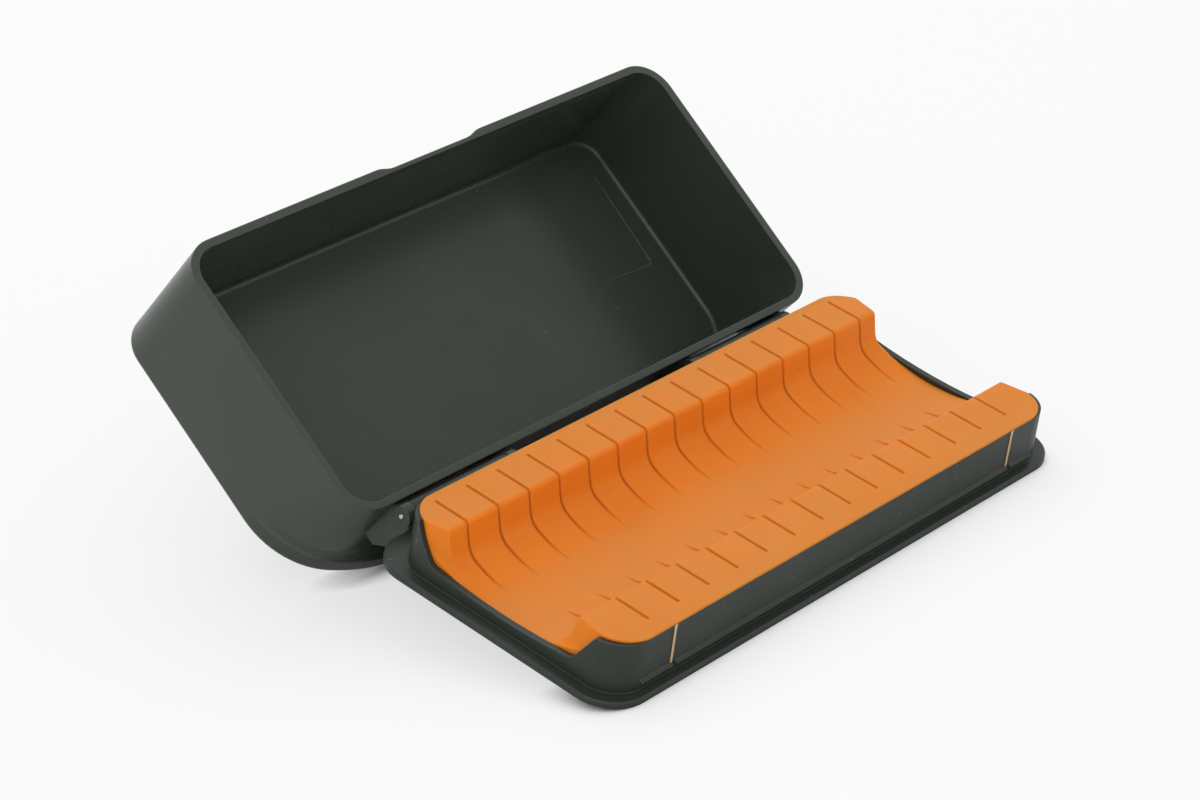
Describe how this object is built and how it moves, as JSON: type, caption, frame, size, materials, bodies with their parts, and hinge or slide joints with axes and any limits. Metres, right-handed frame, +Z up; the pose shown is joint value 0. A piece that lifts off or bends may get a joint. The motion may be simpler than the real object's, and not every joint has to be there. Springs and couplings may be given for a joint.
{
  "type": "hook storage box",
  "caption": "Flat grey box with a slotted orange rubber insert for fishing hooks and a deep hinged lid that opens to a stop, so that it stands like a tent.",
  "frame": {"origin": "centre of the bounding box's bottom face: the table plane, midway between the tray's front edge and the lid's far edge", "axes": "+Z up from the table, +X along the hinge, +Y from the tray towards the opened lid"},
  "size_m": [0.14, 0.1275, 0.0689],
  "materials": {
    "grey_plastic": "satin moulded plastic",
    "orange_rubber": "soft matte rubber",
    "lid_plastic": "satin moulded plastic",
    "pin_steel": "drawn steel"
  },
  "bodies": {
    "base": {"tray": "grey_plastic", "hook_insert": "orange_rubber", "hinge_pin_left": "pin_steel", "hinge_pin_right": "pin_steel"},
    "lid": {"lid": "lid_plastic"}
  },
  "joints": [
    {"name": "lid_hinge", "type": "hinge", "parent": "base", "child": "lid", "pos_m": [0, -0.00118, 0.02021], "axis": [1, 0, 0], "range_deg": [0, 148.56]}
  ]
}
